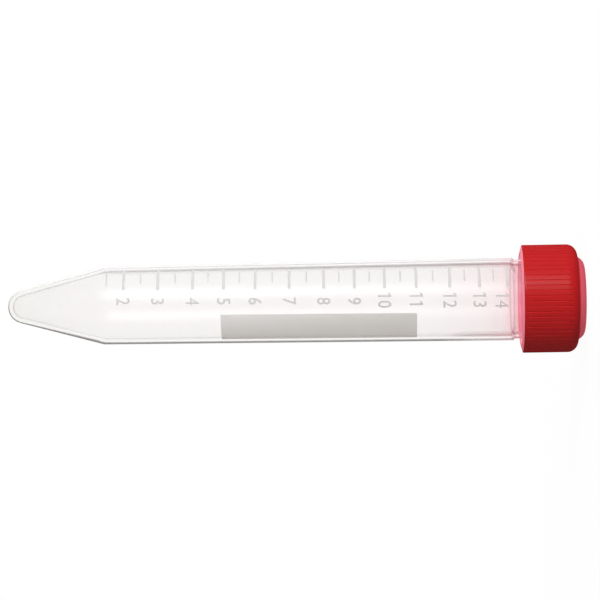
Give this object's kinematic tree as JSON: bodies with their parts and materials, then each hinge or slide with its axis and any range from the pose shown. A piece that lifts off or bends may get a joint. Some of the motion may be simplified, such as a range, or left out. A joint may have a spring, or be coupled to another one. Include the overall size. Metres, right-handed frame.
{
  "type": "conical centrifuge tube with screw cap",
  "caption": "Translucent conical-bottom centrifuge tube with a printed volume scale, a blank writing panel and a ribbed red screw cap.",
  "frame": {"origin": "centre of the cap's flat top, on the surface that the closed tube stands on", "axes": "+Z along the tube from the cap's top to the tip; the printed volume scale faces -Y, with its lines towards +X and the writing panel towards -X"},
  "size_m": [0.0224, 0.0224, 0.12],
  "materials": {
    "tube_plastic": "moulded, clear to slightly milky",
    "cap_plastic": "moulded, satin",
    "scale_print": "thin printed ink",
    "writing_panel": "thin printed ink that takes a pen"
  },
  "bodies": {
    "cap": {"cap": "cap_plastic"},
    "tube": {"tube": "tube_plastic"}
  },
  "joints": [
    {"name": "unscrew", "type": "slide", "parent": "cap", "child": "tube", "axis": [0, 0, 1], "range_m": [0, 0.03]}
  ]
}
